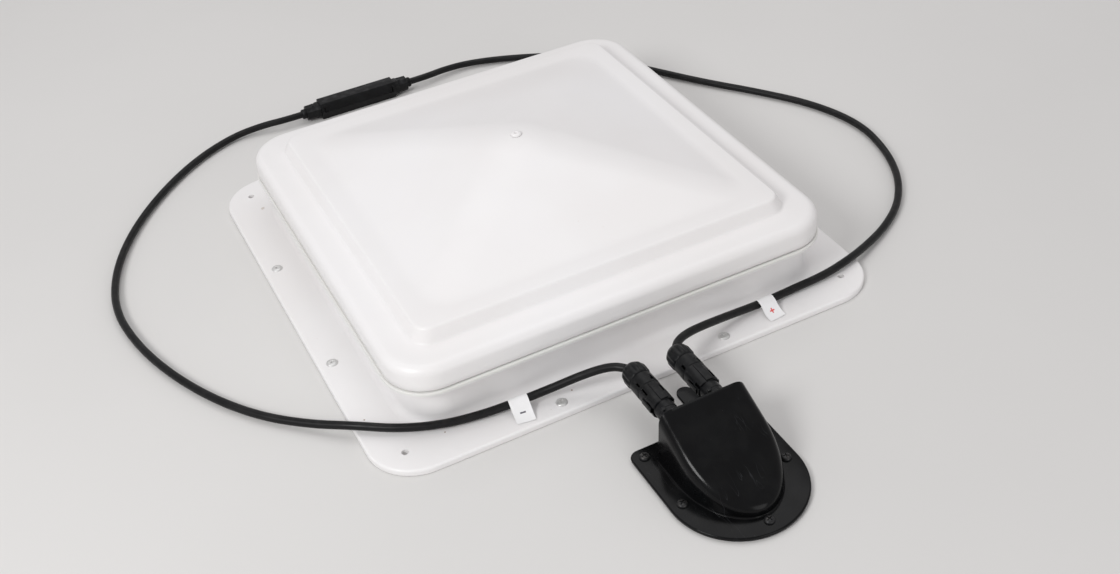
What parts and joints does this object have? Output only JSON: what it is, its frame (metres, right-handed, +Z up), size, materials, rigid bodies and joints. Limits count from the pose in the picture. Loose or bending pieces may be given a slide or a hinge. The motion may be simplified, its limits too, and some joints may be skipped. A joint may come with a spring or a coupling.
{
  "type": "caravan roof vent",
  "caption": "Square roof vent with a domed crank-up lid on a drilled flange, an insect screen, and a fused lead set plugged into a wedge-shaped cable entry housing.",
  "frame": {"origin": "centre of the four corner screw holes, on the underside of the flange", "axes": "+X along the front edge, +Y towards the hinged back edge, +Z up from the roof skin"},
  "size_m": [0.7176, 0.7261, 0.1125],
  "materials": {
    "shell_white": "satin, vacuum formed",
    "trim_white": "fine moulded grain",
    "seal_rubber": "soft extruded",
    "zinc_steel": "zinc plated sheet",
    "rivet_metal": "bright",
    "screw_steel": "zinc plated",
    "screw_black": "blackened",
    "case_metal": "cast",
    "gear_brass": "machined",
    "roller_nylon": "natural nylon",
    "net_grey": "moulded net",
    "housing_black": "moulded, slightly glossy",
    "plug_black": "moulded",
    "holder_black": "moulded",
    "cable_black": "satin sheath",
    "tag_paper": "white label stock",
    "fuse_body": "glazed ceramic",
    "contact_metal": "plated"
  },
  "bodies": {
    "base": {"base_flange": "shell_white", "stiffening_frame": "zinc_steel", "flange_rivets": "rivet_metal", "upstand_seal": "seal_rubber", "hinge_base_leaves": "zinc_steel", "hinge_base_screws": "screw_steel", "hinge_pins": "screw_steel", "operator_bridge": "zinc_steel", "bridge_screws": "screw_steel", "gear_case": "case_metal", "case_cover": "case_metal", "cover_screws": "screw_steel", "case_screws": "screw_steel", "screen_frame": "trim_white", "insect_net": "net_grey", "screen_screws": "screw_steel", "entry_housing": "housing_black", "entry_gasket": "seal_rubber", "entry_screws": "screw_black", "panel_sockets": "plug_black", "socket_nuts": "plug_black", "plug_body_minus": "plug_black", "plug_nut_minus": "plug_black", "plug_body_plus": "plug_black", "plug_nut_plus": "plug_black", "lead_minus": "cable_black", "lead_plus": "cable_black", "tag_minus": "tag_paper", "tag_plus": "tag_paper", "holder_body": "holder_black", "holder_caps": "holder_black", "holder_nuts": "holder_black", "fuse_barrel": "fuse_body", "fuse_caps": "contact_metal", "fuse_contacts": "contact_metal"},
    "lid": {"lid_shell": "shell_white", "lid_frame": "trim_white", "hinge_lid_leaves": "zinc_steel", "hinge_lid_rivets": "rivet_metal", "lift_channel": "zinc_steel", "centre_rivet": "rivet_metal"},
    "arm": {"lift_arm": "zinc_steel", "arm_shaft": "screw_steel", "arm_nut": "screw_steel", "worm_wheel": "gear_brass", "roller_pin": "screw_steel"},
    "rollers": {"lift_rollers": "roller_nylon"},
    "crank": {"worm_shaft": "screw_steel", "crank_knob": "trim_white", "knob_screw": "screw_steel"}
  },
  "joints": [
    {"name": "lid_hinge", "type": "hinge", "parent": "base", "child": "lid", "pos_m": [0, 0.201, 0.046], "axis": [-1, 0, 0], "range_deg": [0, 50]},
    {"name": "arm_pivot", "type": "hinge", "parent": "base", "child": "arm", "pos_m": [0, 0.09868, 0.04006], "axis": [-1, 0, 0], "range_deg": [0, 100]},
    {"name": "roller_spin", "type": "hinge", "parent": "arm", "child": "rollers", "pos_m": [0, 0.01058, 0.09242], "axis": [1, 0, 0], "continuous": true},
    {"name": "crank_turn", "type": "hinge", "parent": "base", "child": "crank", "pos_m": [0.0125, 0.08168, 0.005], "axis": [0, 0, -1], "range_deg": [0, 2400]}
  ],
  "couplings": [
    {"joint": "arm_pivot", "follows": "lid_hinge", "ratio": 2},
    {"joint": "crank_turn", "follows": "lid_hinge", "ratio": 48}
  ]
}
